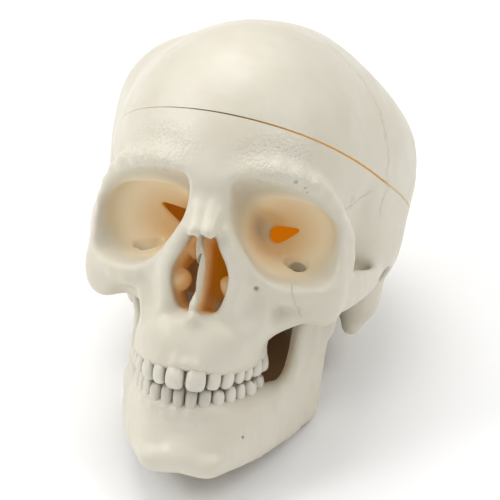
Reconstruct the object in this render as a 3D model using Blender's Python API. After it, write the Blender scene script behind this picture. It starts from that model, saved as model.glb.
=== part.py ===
# A life-size plastic teaching skull in three pieces: the cranium with its upper teeth,
# the sawn skullcap, and the lower jaw with its teeth.
#
# The bones are worked out in the skull's own frame, in millimetres: x to the skull's left,
# y to its back and z up, from midway between the ear canals. Both sides are alike, so most
# places are given for the left side only. The finished pieces are in metres, and an empty
# tips them back so that the jaw angles and the back of the head rest on the ground.

import math
import random

import bmesh
import bpy
from mathutils import Matrix, Vector

MM = 0.001

# Driving dimensions
VAULT_HALF_WIDTH = 72.0
VAULT_BACK = 90.0
VAULT_TOP = 109.0
SHELL_WALL = 5.0
CUT_HEIGHT = 39.3
CUT_RISE_TO_FRONT = 0.268
CUT_RISE_TO_RIGHT = 0.062
CUT_GAP = 0.6
GAP_WIDENS_TO_LEFT = 0.004
SAW_MARGIN = 3.0
ORBIT_WALL = 3.0
UPPER_GUM = -47.6
LOWER_GUM = -62.0
BITE_LEVEL = -54.4
BITE_RISE_TO_BACK = 0.15
UPPER_GUM_RISE = 0.13
LOWER_GUM_RISE = 0.07
FLOOR_TRIM = 0.5

# Teeth from the middle of the jaw back: kind, width, depth, and how far past the bite they reach
UPPER_TEETH = [("incisor", 8.8, 7.0, 1.8), ("incisor", 6.8, 6.2, 1.2), ("canine", 7.2, 7.4, 1.4),
               ("premolar", 6.8, 8.4, -0.3), ("premolar", 6.6, 8.4, -0.3), ("molar", 9.8, 10.0, -0.3),
               ("molar", 9.2, 9.8, -0.3)]
LOWER_TEETH = [("incisor", 5.2, 5.6, 0.6), ("incisor", 5.8, 5.8, 0.4), ("canine", 6.6, 6.6, -0.8),
               ("premolar", 6.8, 7.2, -0.3), ("premolar", 6.8, 7.4, -0.3), ("molar", 10.4, 9.2, -0.3),
               ("molar", 10.0, 9.0, -0.3)]
# Each arch is wider on the skull's right: half width and length of the left half, then the right
UPPER_ARCH = {"front": -93.6, "left": (22.2, 43.0), "right": (27.5, 36.0)}
LOWER_ARCH = {"front": -89.4, "left": (21.8, 42.0), "right": (26.0, 36.0)}
# Height share of the crown, then shares of the tooth's width and depth
CROWNS = {
    "incisor": [(-0.6, 0.5, 0.5), (0, 0.8, 0.85), (0.4, 1, 0.95), (0.85, 0.98, 0.5), (1, 0.86, 0.28)],
    "canine": [(-0.6, 0.5, 0.5), (0, 0.82, 0.85), (0.4, 1, 1), (0.8, 0.8, 0.62), (1, 0.3, 0.3)],
    "premolar": [(-0.6, 0.6, 0.6), (0, 0.8, 0.85), (0.5, 1, 1), (0.85, 0.9, 0.9), (1, 0.6, 0.62)],
    "molar": [(-0.6, 0.7, 0.7), (0, 0.85, 0.88), (0.5, 1, 1), (0.85, 0.93, 0.93), (1, 0.7, 0.7)],
}
TOOTH_SIDES = 8
TOOTH_SEED = 7

# Fineness of the sampled fields and of the finished solids
CRANIUM_GRID = 1.15
CAP_GRID = 2.5
JAW_GRID = 1.1
CRANIUM_TRIANGLES = 6600
CAP_TRIANGLES = 1200
JAW_TRIANGLES = 2700

FAR = 1000.0


def clear_scene():
    for item in list(bpy.data.objects):
        bpy.data.objects.remove(item)


def distance_group(name, extra_inputs):
    """An empty node group with a Place input, further inputs, and a Distance output."""
    group = bpy.data.node_groups.new(name, "GeometryNodeTree")
    face = group.interface
    face.new_socket("Place", in_out="INPUT", socket_type="NodeSocketVector")
    for label, kind in extra_inputs:
        face.new_socket(label, in_out="INPUT", socket_type="NodeSocket" + kind)
    face.new_socket("Distance", in_out="OUTPUT", socket_type="NodeSocketFloat")
    source = group.nodes.new("NodeGroupInput")
    return group, {socket.name: socket for socket in source.outputs}


def wire(tree, kind, values, operation=None):
    """Adds a node, links or sets its inputs in order, and returns it."""
    node = tree.nodes.new(kind)
    if operation:
        node.operation = operation
    for slot, value in zip(node.inputs, values):
        if isinstance(value, bpy.types.NodeSocket):
            tree.links.new(value, slot)
        elif value is not None:
            slot.default_value = value
    return node


def number(tree, operation, *values):
    return wire(tree, "ShaderNodeMath", values, operation).outputs[0]


def vector(tree, operation, *values):
    node = wire(tree, "ShaderNodeVectorMath", values, operation)
    return node.outputs["Value" if operation in ("LENGTH", "DOT_PRODUCT") else "Vector"]


def finish_group(tree, socket):
    target = tree.nodes.new("NodeGroupOutput")
    tree.links.new(socket, target.inputs[0])


def blended(tree, surface, distance, blend, cut):
    """The surface with a form joined to it, or cut out of it, over a soft edge."""
    if cut:
        return number(tree, "SMOOTH_MAX", surface, number(tree, "MULTIPLY", distance, -1.0), blend)
    return number(tree, "SMOOTH_MIN", surface, distance, blend)


def ball_group(cut):
    """An ellipsoid joined to, or cut from, a surface."""
    inputs = [("Surface", "Float"), ("Blend", "Float"), ("Centre", "Vector"), ("Radii", "Vector")]
    tree, given = distance_group("ball cut" if cut else "ball", inputs)
    offset = vector(tree, "SUBTRACT", given["Place"], given["Centre"])
    scaled = vector(tree, "DIVIDE", offset, given["Radii"])
    reach = vector(tree, "LENGTH", scaled)
    slope = vector(tree, "LENGTH", vector(tree, "DIVIDE", scaled, given["Radii"]))
    depth = number(tree, "MULTIPLY", reach, number(tree, "SUBTRACT", reach, 1.0))
    distance = number(tree, "DIVIDE", depth, number(tree, "MAXIMUM", slope, 1e-4))
    finish_group(tree, blended(tree, given["Surface"], distance, given["Blend"], cut))
    return tree


def rod_group(cut):
    """A round-ended rod that may taper and be flattened, joined to, or cut from, a surface."""
    inputs = [("Surface", "Float"), ("Blend", "Float"), ("Start", "Vector"), ("Along", "Vector"),
              ("Squash", "Vector"), ("First", "Float"), ("Change", "Float"), ("Share", "Float")]
    tree, given = distance_group("rod cut" if cut else "rod", inputs)
    offset = vector(tree, "SUBTRACT", given["Place"], given["Start"])
    offset = vector(tree, "MULTIPLY", offset, given["Squash"])
    along = number(tree, "MULTIPLY", vector(tree, "DOT_PRODUCT", offset, given["Along"]), given["Share"])
    along = number(tree, "MAXIMUM", number(tree, "MINIMUM", along, 1.0), 0.0)
    nearest = vector(tree, "SCALE", given["Along"])
    tree.links.new(along, nearest.node.inputs["Scale"])
    length = vector(tree, "LENGTH", vector(tree, "SUBTRACT", offset, nearest))
    radius = number(tree, "ADD", given["First"], number(tree, "MULTIPLY", given["Change"], along))
    distance = number(tree, "SUBTRACT", length, radius)
    finish_group(tree, blended(tree, given["Surface"], distance, given["Blend"], cut))
    return tree


def smooth_path(stops, bends):
    """Stops on a smooth curve through the given ones, with extra stops between each two."""
    points = [Vector(stop) for stop in stops]
    ends = [2 * points[0] - points[1], *points, 2 * points[-1] - points[-2]]
    path = []
    for a, b, c, d in zip(ends, ends[1:], ends[2:], ends[3:]):
        for step in range(bends + 1):
            t = step / (bends + 1)
            path.append(0.5 * (2 * b + (c - a) * t + (2 * a - 5 * b + 4 * c - d) * t ** 2
                               + (3 * b - a - 3 * c + d) * t ** 3))
    return path + [points[-1]]


class Sketch:
    """A node group in which a surface is built up, form by form, as a field of distances."""

    tools = {}

    def __init__(self, name):
        if not Sketch.tools:
            Sketch.tools.update(ball=ball_group(False), ball_cut=ball_group(True),
                                rod=rod_group(False), rod_cut=rod_group(True))
        self.tree, given = distance_group(name, [])
        self.place = given["Place"]
        self.surface = FAR

    def tool(self, name, values):
        node = self.tree.nodes.new("GeometryNodeGroup")
        node.node_tree = Sketch.tools[name]
        self.tree.links.new(self.place, node.inputs["Place"])
        for label, value in values.items():
            if isinstance(value, bpy.types.NodeSocket):
                self.tree.links.new(value, node.inputs[label])
            else:
                node.inputs[label].default_value = value
        self.surface = node.outputs[0]

    def ball(self, centre, radii, blend=6.0, cut=False):
        values = {"Surface": self.surface, "Blend": blend, "Centre": centre, "Radii": radii}
        self.tool("ball_cut" if cut else "ball", values)

    def rod(self, start, end, first, last, blend=6.0, squash=(1, 1, 1), cut=False):
        along = Vector([(b - a) * s for a, b, s in zip(start, end, squash)])
        values = {"Surface": self.surface, "Blend": blend, "Start": start, "Along": along,
                  "Squash": squash, "First": first, "Change": last - first,
                  "Share": 1.0 / along.length_squared}
        self.tool("rod_cut" if cut else "rod", values)

    def chain(self, stops, blend=6.0, squash=(1, 1, 1), cut=False, bends=0):
        """Rods end to end through stops of x, y, z and radius, bent smoothly between them."""
        if bends:
            stops = smooth_path(stops, bends)
        for one, two in zip(stops, stops[1:]):
            self.rod(one[:3], two[:3], one[3], two[3], blend, squash, cut)

    def wall(self, inside, corners, blend=6.0):
        """Keeps what lies on the inside point's side of the plane through three corners."""
        a, b, c = (Vector(corner) for corner in corners)
        normal = (b - a).cross(c - a).normalized()
        if normal.dot(Vector(inside) - a) > 0:
            normal = -normal
        level = number(self.tree, "SUBTRACT", vector(self.tree, "DOT_PRODUCT", self.place, normal),
                       normal.dot(a))
        if self.surface == FAR:
            self.surface = level
        else:
            self.surface = number(self.tree, "SMOOTH_MAX", self.surface, level, blend)

    def form(self, sketch, mirrored=False):
        """Another sketch's distance at this place."""
        node = self.tree.nodes.new("GeometryNodeGroup")
        node.node_tree = sketch.tree
        place = self.place
        if mirrored:
            parts = wire(self.tree, "ShaderNodeSeparateXYZ", [place]).outputs
            half = number(self.tree, "ABSOLUTE", parts[0])
            place = wire(self.tree, "ShaderNodeCombineXYZ", [half, parts[1], parts[2]]).outputs[0]
        self.tree.links.new(place, node.inputs["Place"])
        return node.outputs[0]

    def add(self, distance, blend=6.0, grow=0.0):
        grown = number(self.tree, "SUBTRACT", distance, grow)
        self.surface = number(self.tree, "SMOOTH_MIN", self.surface, grown, blend)

    def remove(self, distance, blend=3.0, grow=0.0):
        grown = number(self.tree, "SUBTRACT", grow, distance)
        self.surface = number(self.tree, "SMOOTH_MAX", self.surface, grown, blend)

    def keep(self, distance, blend=3.0, grow=0.0):
        grown = number(self.tree, "SUBTRACT", distance, grow)
        self.surface = number(self.tree, "SMOOTH_MAX", self.surface, grown, blend)

    def done(self):
        finish_group(self.tree, self.surface)
        return self


def braincase_outside():
    s = Sketch("braincase")
    vault_mid = 16.0
    vault_level = 44.0
    s.ball((0, vault_mid, vault_level),
           (VAULT_HALF_WIDTH, VAULT_BACK - vault_mid, VAULT_TOP - vault_level))
    s.ball((0, -30, 42), (57, 64, 63), 30)
    s.ball((0, 46, 28), (52, 45, 42), 26)
    s.ball((0, 42, -4), (46, 34, 22), 20)
    s.ball((46, 8, 13), (23.5, 36, 25), 16)
    s.ball((0, -30, 8), (32, 34, 26), 16)
    s.done()
    whole = Sketch("vault")
    whole.surface = whole.form(s, True)
    whole.ball((-37.5, 4, 69), (27, 38, 27), 14)
    whole.ball((30.5, 10, 68.5), (26, 36, 24), 14)
    return whole.done()


def orbit_hollow():
    """The left eye socket: a pyramid of five walls that opens forward."""
    s = Sketch("orbit")
    inside = (28, -70, 15)
    s.wall(inside, [(12, -86, 34.5), (36, -78, 33.5), (16, -38, 20)])
    s.wall(inside, [(38, -76, 33), (51, -65, 22), (20, -38, 18)], 13)
    s.wall(inside, [(52.5, -64, 22), (51, -64, 4), (20, -38, 14)], 13)
    s.wall(inside, [(45, -69, -4.5), (28, -76, -4.5), (16, -40, 7)], 13)
    s.wall(inside, [(22, -80, -1), (9.3, -86, 16), (11, -40, 10)], 12)
    s.wall(inside, [(9, -86, 20), (9, -86, 30), (11, -40, 14)], 10)
    s.wall(inside, [(0, -37, 0), (10, -37, 0), (0, -37, 10)], 8)
    s.ball((33, -62, 16), (18, 13, 17.5), 5)
    return s.done()


def nose_hollow():
    """The pear-shaped nasal opening and the cavity behind it, left half."""
    s = Sketch("nose")
    inside = (2, -80, -5)
    s.wall(inside, [(2.6, -93, 12), (11.3, -93, -1.5), (6.5, -60, 6)])
    s.wall(inside, [(12.6, -93, -4), (12.6, -93, -12), (14, -60, -8)], 5)
    s.wall(inside, [(12.4, -93, -12), (8.5, -93, -20.5), (14, -60, -14)], 5)
    s.wall(inside, [(0, -93, -22), (8, -93, -21.5), (0, -60, -23)], 4)
    s.wall(inside, [(0, -101, 10), (5, -101, 10), (0, -60, 22)], 3)
    s.wall(inside, [(0, -44, 0), (5, -44, 0), (0, -44, 5)], 3)
    return s.done()


def face_mass():
    """Brow, cheek, nose and upper jaw on the left side, before the hollows are cut."""
    s = Sketch("face")
    s.ball((0, -86, 35), (12, 8, 10))
    s.chain([(6, -87, 35, 6.5), (15, -88, 38.5, 6), (26, -86, 40.5, 5.3), (41, -77, 37, 5),
             (50, -67, 27, 4.6), (52, -63.5, 10, 4.8), (51, -63, -4, 6.3)], 3, bends=1)
    s.chain([(50, -64, -6, 6), (40, -72, -10, 5.8), (28, -78.5, -9, 5), (18, -82.5, -1, 4.5),
             (11, -87, 13, 4.5), (6, -87, 27, 5)], 3, bends=1)
    s.chain([(2.8, -87, 28, 5.2), (2.8, -92, 20, 4.4), (3, -98.5, 12.5, 3.4)], 3)
    s.chain([(7.5, -92, 13, 3.4), (14, -87.5, -3, 4), (14.5, -86, -17, 4.5)], 5, bends=1)
    s.ball((49, -61, -10), (10, 8, 13.5), 7)
    s.chain([(43, -64, -15, 6.5), (25, -65, -27, 5)], 7)
    s.ball((15, -72, -20), (15.5, 17.5, 24), 8)
    s.ball((0, -78, -33), (15, 17, 14), 8)
    arch = [(0, -90), (9, -88.5), (16, -82), (19.8, -72), (20.4, -62), (19.4, -54)]
    s.chain([(x, y, -37.5 + UPPER_GUM_RISE * (y + 90), 6.2) for x, y in arch], 2, (1, 1, 0.56), bends=2)
    s.chain([(0, -92, -25, 3.5), (0, -97, -24.5, 1.6)], 5)
    s.chain([(51, -60, -9, 10), (57, -49, -7, 8.5), (61.5, -38, -4.5, 6.5), (63.5, -25, -2.5, 5),
             (63, -12, 0, 4.5), (58, -2, 2, 5)], 3, (1.9, 1, 1), bends=1)
    s.chain([(50.5, -65, 28, 4.2), (54.5, -58, 14, 4.2), (54, -57, 2, 6)], 5, bends=1)
    return s.done()


def right_gum():
    """The upper jaw's rim on the right, which stands further out than on the left."""
    s = Sketch("right gum")
    rim = [(-9.5, -88.8), (-17.6, -83.6), (-22.6, -75.5), (-24.2, -66), (-24, -56)]
    s.chain([(x, y, -37.5 + UPPER_GUM_RISE * (y + 90), 6.2) for x, y in rim], 2, (1, 1, 0.56), bends=1)
    return s.done()


def skull_base():
    """What closes the skull below and carries the jaw, left side."""
    s = Sketch("base")
    s.ball((53, 12, -9), (11, 14, 17), 8)
    s.rod((53, 10, -14), (52, 9, -27), 8, 4.5, 6)
    s.rod((0, 2, -23), (0, -26, -10), 9, 10, 8)
    s.ball((0, 33, -18), (32, 24, 15), 12)
    s.ball((0, -36, 0), (15, 14, 15), 8)
    s.ball((48, -21, -2), (10, 6, 5), 6)
    s.rod((20, 2, -16), (50, 6, -9), 8, 8, 8)
    s.rod((60, 2, 2), (48, 0, -4), 7, 6, 5)
    s.rod((15, -2, -27), (19, 8, -25), 5, 5, 4)
    s.rod((13, -42, -8), (14, -46, -36), 3.5, 2.5, 5, (1.6, 0.45, 1))
    s.rod((41, 5, -12), (34, -5, -36), 3, 1.4, 4)
    return s.done()


def brain_hollow(shell):
    """The inside of the braincase, above the floor of the skull."""
    floor = Sketch("floor")
    floor.ball((0, 34, 8), (54, 46, 28), 6)
    floor.ball((34, -12, 12), (24, 32, 24), 12)
    floor.ball((0, -37, 53), (44, 46, 30), 12)
    floor.ball((0, 20, 54), (80, 80, 66), 14)
    s = Sketch("inside")
    s.surface = number(s.tree, "ADD", s.form(shell), SHELL_WALL)
    s.keep(s.form(floor.done(), True), 6)
    return s.done()


def cut_normal(widening):
    """The way up from the saw cut, which rises to the front and a little to the right."""
    return Vector((CUT_RISE_TO_RIGHT - widening, CUT_RISE_TO_FRONT, 1.0)).normalized()


def cut_level(s):
    """Height above the saw cut."""
    normal = cut_normal(0.0)
    height = vector(s.tree, "DOT_PRODUCT", s.place, normal)
    return number(s.tree, "SUBTRACT", height, normal.z * CUT_HEIGHT)


def socket_walls(orbit):
    """A thin cone of bone round the left eye socket, behind its rim."""
    front = Sketch("rim plane")
    front.wall((0, 0, 0), [(0, -77, 0), (40, -66, 0), (0, -77, 40)])
    s = Sketch("socket walls")
    s.surface = number(s.tree, "SUBTRACT", s.form(orbit), ORBIT_WALL)
    s.keep(s.form(front.done()), 6)
    return s.done()


def small_openings():
    """Lower fissure, ear canal, jaw socket, palate and the opening for the spine, left side."""
    s = Sketch("openings")
    s.rod((30, -50, 0.2), (37, -54.5, -0.8), 2.8, 3, 2, (1, 1, 0.6))
    s.ball((0, 15, -24), (15, 18, 16), 3)
    s.rod((0, 11, -15), (0, 28.5, -43), 13.4, 13.4, 2)
    s.rod((66, 1, -1), (48, 0, 0), 4, 3, 2)
    s.rod((42.5, -11.5, -4), (52.5, -11.5, -4), 6.8, 6.8, 3)
    s.rod((47, -11, -6), (43, -12.5, -30), 6.5, 7, 3, (0.9, 1, 1))
    s.ball((0, -60, -50), (19.5, 27, 15), 4)
    return s.done()


def fissures():
    """The leaf-shaped slots at the back of the eye sockets, which differ a little."""
    s = Sketch("fissures")
    s.rod((21.5, -40, 12.7), (32.3, -43, 16.4), 3.9, 0.8, 1.5, (1, 0.15, 1))
    s.rod((-19, -39, 14.2), (-31, -43, 20.6), 4.2, 0.8, 1.5, (1, 0.15, 1))
    return s.done()


def septum():
    """The thin wall that parts the nose, bowed to the left at its middle."""
    s = Sketch("septum")
    s.rod((-0.8, -91, 8), (0, -50, 4), 10, 18, 6, (8, 1, 1))
    s.rod((1, -86, -7), (0, -50, -10), 14, 14, 6, (11, 1, 1))
    s.rod((-0.2, -88, -18), (0, -50, -18), 7, 7, 4, (5.5, 1, 1))
    s.chain([(-1.8, -96.5, 11, 1.2), (0.2, -94, 5, 1.2), (1.4, -92, -3, 1.3), (0.6, -92, -11, 1.2),
             (-1.6, -92.5, -21, 1.6)], 1.5, bends=1)
    return s.done()


def cranium_field(shell):
    orbit = orbit_hollow()
    s = Sketch("cranium")
    s.surface = s.form(shell)
    s.add(s.form(face_mass(), True), 8)
    s.add(s.form(right_gum()), 3)
    s.remove(s.form(brain_hollow(shell)), 3)
    s.add(s.form(socket_walls(orbit), True), 6)
    s.add(s.form(skull_base(), True), 5)
    s.remove(s.form(orbit, True), 2.5)
    s.remove(s.form(nose_hollow(), True), 2.5)
    s.remove(s.form(small_openings(), True), 2)
    s.remove(s.form(fissures()), 1.5)
    cheek_hollow = Sketch("cheek hollow")
    cheek_hollow.ball((27, -89, -19), (9, 7, 10))
    s.remove(s.form(cheek_hollow.done(), True), 8)
    s.add(s.form(septum()), 2.5)
    s.keep(cut_level(s), 0.5, SAW_MARGIN)
    return s.done()


def skullcap_field(shell):
    s = Sketch("skullcap")
    s.surface = s.form(shell)
    s.remove(s.form(shell), 0.5, -SHELL_WALL)
    s.remove(cut_level(s), 0.5, -SAW_MARGIN)
    return s.done()


def jaw_field():
    half = Sketch("jaw half")
    half.chain([(0, -83.5, -77, 5.8), (10, -82, -77, 5.8), (18, -76, -76, 5.5), (26, -64, -73.5, 5.2),
                (32, -48, -69.5, 4.9), (37, -32, -66, 4.6)], 2, (1, 1, 0.42), bends=2)
    half.chain([(0, -84, -86.5, 5.5), (10, -83, -87, 5.6), (18, -76, -84.5, 5.2), (27, -61, -79, 4.6),
                (34, -43, -73, 4.1), (38.5, -27, -69.5, 3.9)], 3, bends=2)
    half.chain([(0, -86, -67, 5.2), (9, -84, -67, 5.2), (16, -77.5, -66.5, 5.3), (21.5, -66, -65, 5.8),
                (25.5, -52, -62, 6), (29.5, -40, -59, 5.5)], 3, (1, 1, 0.8), bends=2)
    half.ball((0, -87, -85), (9, 5, 6), 6)
    half.ball((12, -84, -88), (6, 5, 4.5), 6)
    half.rod((41, -15, -60), (42.5, -13.5, -24), 8.5, 7, 6, (2.2, 1, 1))
    half.rod((35.2, -31, -58), (37.2, -34, -20), 11, 8.5, 6, (2.2, 1, 1))
    half.rod((39.5, -23, -58), (40.5, -23, -28), 8, 7, 6, (2.4, 1, 1))
    half.chain([(36.2, -39, -42, 3.4), (34.8, -42.5, -51, 3.4), (30, -50, -60, 4.5)], 4)
    half.rod((38.2, -37, -24), (40.4, -38.5, -11), 6, 2.2, 5, (1.8, 1, 1))
    half.rod((43.5, -12, -28), (47, -10.5, -12), 5.5, 4, 5, (1.2, 1, 1))
    half.ball((41, -19, -63), (4.4, 12, 9), 5)
    half.ball((47.5, -10.5, -6.5), (10, 4.6, 4.6), 4)
    half.ball((42, -22.5, -10), (12, 6.5, 9.5), 3, cut=True)
    half.done()
    s = Sketch("jaw")
    s.surface = s.form(half, True)
    s.chain([(-15, -81, -66.5, 5.2), (-20, -73, -65.5, 5.4), (-24.5, -63, -64, 5.8),
             (-27.5, -50, -61.5, 5.8)], 3, (1, 1, 0.8), bends=2)
    return s.done()


def solid_from_field(name, sketch, low, high, grid, triangles):
    """Samples a field on a grid, skins it, and thins the skin to the wanted number of triangles."""
    tree = bpy.data.node_groups.new(name + " skin", "GeometryNodeTree")
    tree.interface.new_socket("Geometry", in_out="OUTPUT", socket_type="NodeSocketGeometry")
    place = tree.nodes.new("GeometryNodeInputPosition").outputs[0]
    field = tree.nodes.new("GeometryNodeGroup")
    field.node_tree = sketch.tree
    tree.links.new(place, field.inputs["Place"])
    block = tree.nodes.new("GeometryNodeVolumeCube")
    tree.links.new(number(tree, "MULTIPLY", field.outputs[0], -1.0), block.inputs["Density"])
    block.inputs["Background"].default_value = -grid * 4
    block.inputs["Min"].default_value = low
    block.inputs["Max"].default_value = high
    for axis, a, b in zip("XYZ", low, high):
        block.inputs["Resolution " + axis].default_value = round((b - a) / grid) + 1
    skin = tree.nodes.new("GeometryNodeVolumeToMesh")
    skin.inputs["Threshold"].default_value = 0.0
    skin.inputs["Adaptivity"].default_value = 0.0
    tree.links.new(block.outputs[0], skin.inputs[0])
    finish_group(tree, skin.outputs[0])
    maker = bpy.data.objects.new(name + " maker", bpy.data.meshes.new(name))
    bpy.context.scene.collection.objects.link(maker)
    maker.modifiers.new("field", "NODES").node_group = tree
    mesh = evaluated_copy(maker)
    bpy.data.objects.remove(maker)
    mesh.name = name
    item = bpy.data.objects.new(name, mesh)
    bpy.context.scene.collection.objects.link(item)
    keep_largest(mesh)
    thin = item.modifiers.new("thin", "DECIMATE")
    thin.ratio = triangles / sum(len(face.vertices) - 2 for face in mesh.polygons)
    thin.use_collapse_triangulate = True
    apply_modifiers(item)
    item.data.transform(Matrix.Scale(MM, 4))
    return item


def evaluated_copy(item):
    graph = bpy.context.evaluated_depsgraph_get()
    return bpy.data.meshes.new_from_object(item.evaluated_get(graph))


def apply_modifiers(item):
    mesh = evaluated_copy(item)
    item.modifiers.clear()
    old = item.data
    item.data = mesh
    name = old.name
    bpy.data.meshes.remove(old)
    mesh.name = name


def keep_largest(mesh):
    """Drops loose scraps and the skins of sealed hollows."""
    work = bmesh.new()
    work.from_mesh(mesh)
    unseen = set(work.verts)
    islands = []
    while unseen:
        seed = unseen.pop()
        island = [seed]
        edge_of_island = [seed]
        while edge_of_island:
            point = edge_of_island.pop()
            for edge in point.link_edges:
                other = edge.other_vert(point)
                if other in unseen:
                    unseen.remove(other)
                    island.append(other)
                    edge_of_island.append(other)
        islands.append(island)
    islands.sort(key=len, reverse=True)
    for island in islands[1:]:
        bmesh.ops.delete(work, geom=island, context="VERTS")
    work.to_mesh(mesh)
    work.free()


def saw_off(item, normal, height, above):
    """Removes all that lies above, or below, a sloping plane, with one straight cut."""
    size = 0.4
    work = bmesh.new()
    bmesh.ops.create_cube(work, size=size)
    mesh = bpy.data.meshes.new("saw block")
    work.to_mesh(mesh)
    work.free()
    block = bpy.data.objects.new("saw block", mesh)
    bpy.context.scene.collection.objects.link(block)
    side = 1 if above else -1
    middle = Vector((0, 0, height * MM)) + normal * side * size / 2
    block.matrix_world = Matrix.Translation(middle) @ normal.to_track_quat("Z", "Y").to_matrix().to_4x4()
    cut = item.modifiers.new("saw", "BOOLEAN")
    cut.operation = "DIFFERENCE"
    cut.object = block
    cut.solver = "EXACT"
    apply_modifiers(item)
    bpy.data.objects.remove(block)
    keep_largest(item.data)


def arch_places(front, half_width, length, widths):
    """Where the teeth of one side stand: places on an ellipse, and the angle it faces there."""
    steps = 4000
    reach = math.pi / 2 * 1.1
    wanted = [sum(widths[:i]) + width / 2 for i, width in enumerate(widths)]
    places = []
    walked = 0.0
    last = (0.0, front)
    for step in range(1, steps + 1):
        turn = reach * step / steps
        here = (half_width * math.sin(turn), front + length * (1 - math.cos(turn)))
        walked += math.dist(here, last)
        last = here
        if wanted and walked >= wanted[0]:
            wanted.pop(0)
            facing = math.atan2(half_width * math.cos(turn), length * math.sin(turn))
            places.append((*here, facing))
    return places


def tooth_mesh(kind, width, depth, height):
    """One tooth, standing up along z: rings from its root to its biting edge."""
    work = bmesh.new()
    rings = []
    for share, wide, deep in CROWNS[kind]:
        ring = []
        for side in range(TOOTH_SIDES):
            turn = 2 * math.pi * (side + 0.5) / TOOTH_SIDES
            square = 1.16 if kind in ("molar", "premolar") else 1.08
            x = max(-1, min(1, square * math.cos(turn))) * width / 2 * wide
            y = max(-1, min(1, square * math.sin(turn))) * depth / 2 * deep
            ring.append(work.verts.new((x, y, share * height)))
        rings.append(ring)
    for low, high in zip(rings, rings[1:]):
        for side in range(TOOTH_SIDES):
            after = (side + 1) % TOOTH_SIDES
            work.faces.new((low[side], low[after], high[after], high[side]))
    work.faces.new(rings[0][::-1])
    work.faces.new(rings[-1])
    bmesh.ops.triangulate(work, faces=[face for face in work.faces if len(face.verts) > 4])
    mesh = bpy.data.meshes.new("tooth")
    work.to_mesh(mesh)
    work.free()
    return mesh


def plant_teeth(bone, teeth, arch, gum, gum_rise, down):
    """Sinks a row of teeth into a bone and joins them to it."""
    chance = random.Random(TOOTH_SEED)
    row = bpy.data.collections.new(bone.name + " teeth")
    bpy.context.scene.collection.children.link(row)
    widths = [width for kind, width, depth, past in teeth]
    for side, half in ((1, "left"), (-1, "right")):
        places = arch_places(arch["front"], *arch[half], widths)
        for (kind, width, depth, past), (x, y, facing) in zip(teeth, places):
            size = chance.uniform(0.96, 1.02)
            back = y - arch["front"]
            level = gum + gum_rise * back + chance.uniform(-0.1, 0.1)
            height = abs(level - BITE_LEVEL - BITE_RISE_TO_BACK * back) + past
            turn = Matrix.Rotation(side * (math.pi / 2 - facing) + chance.uniform(-0.06, 0.06), 4, "Z")
            flip = Matrix.Rotation(math.pi, 4, "X") if down else Matrix.Identity(4)
            mesh = tooth_mesh(kind, width * size, depth * size, height)
            mesh.transform(Matrix.Scale(MM, 4) @ Matrix.Translation((side * x, y, level)) @ turn @ flip)
            row.objects.link(bpy.data.objects.new("tooth", mesh))
    union = bone.modifiers.new("teeth", "BOOLEAN")
    union.operation = "UNION"
    union.operand_type = "COLLECTION"
    union.collection = row
    union.solver = "EXACT"
    apply_modifiers(bone)
    for tooth in list(row.objects):
        bpy.data.objects.remove(tooth)
    bpy.data.collections.remove(row)
    keep_largest(bone.data)


def lowest(item, up):
    return min(vertex.co.dot(up) for vertex in item.data.vertices)


def world_up(tilt):
    """The way up, as the tipped skull's own frame has it."""
    return Vector((0, -math.sin(tilt), math.cos(tilt)))


def resting_tilt(cranium, jaw):
    """The tilt at which the jaw angles and the back of the head reach down alike."""
    low, high = math.radians(15), math.radians(50)
    for _ in range(30):
        tilt = (low + high) / 2
        up = world_up(tilt)
        if lowest(jaw, up) < lowest(cranium, up):
            low = tilt
        else:
            high = tilt
    return tilt


def trim_to_floor(item, level, up):
    """Cuts a flat where the piece would reach below the floor."""
    work = bmesh.new()
    work.from_mesh(item.data)
    geometry = [*work.verts, *work.edges, *work.faces]
    cut = bmesh.ops.bisect_plane(work, geom=geometry, dist=1e-7, plane_co=up * level, plane_no=up,
                                 clear_inner=True)
    rims = [edge for edge in cut["geom_cut"] if isinstance(edge, bmesh.types.BMEdge)]
    filled = bmesh.ops.holes_fill(work, edges=rims)
    bmesh.ops.triangulate(work, faces=filled["faces"])
    work.to_mesh(item.data)
    work.free()


def bone_material(name, colour, roughness):
    material = bpy.data.materials.new(name)
    material.use_nodes = True
    shader = material.node_tree.nodes["Principled BSDF"]
    shader.inputs["Base Color"].default_value = (*colour, 1.0)
    shader.inputs["Roughness"].default_value = roughness
    shader.inputs["Metallic"].default_value = 0.0
    return material


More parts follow.
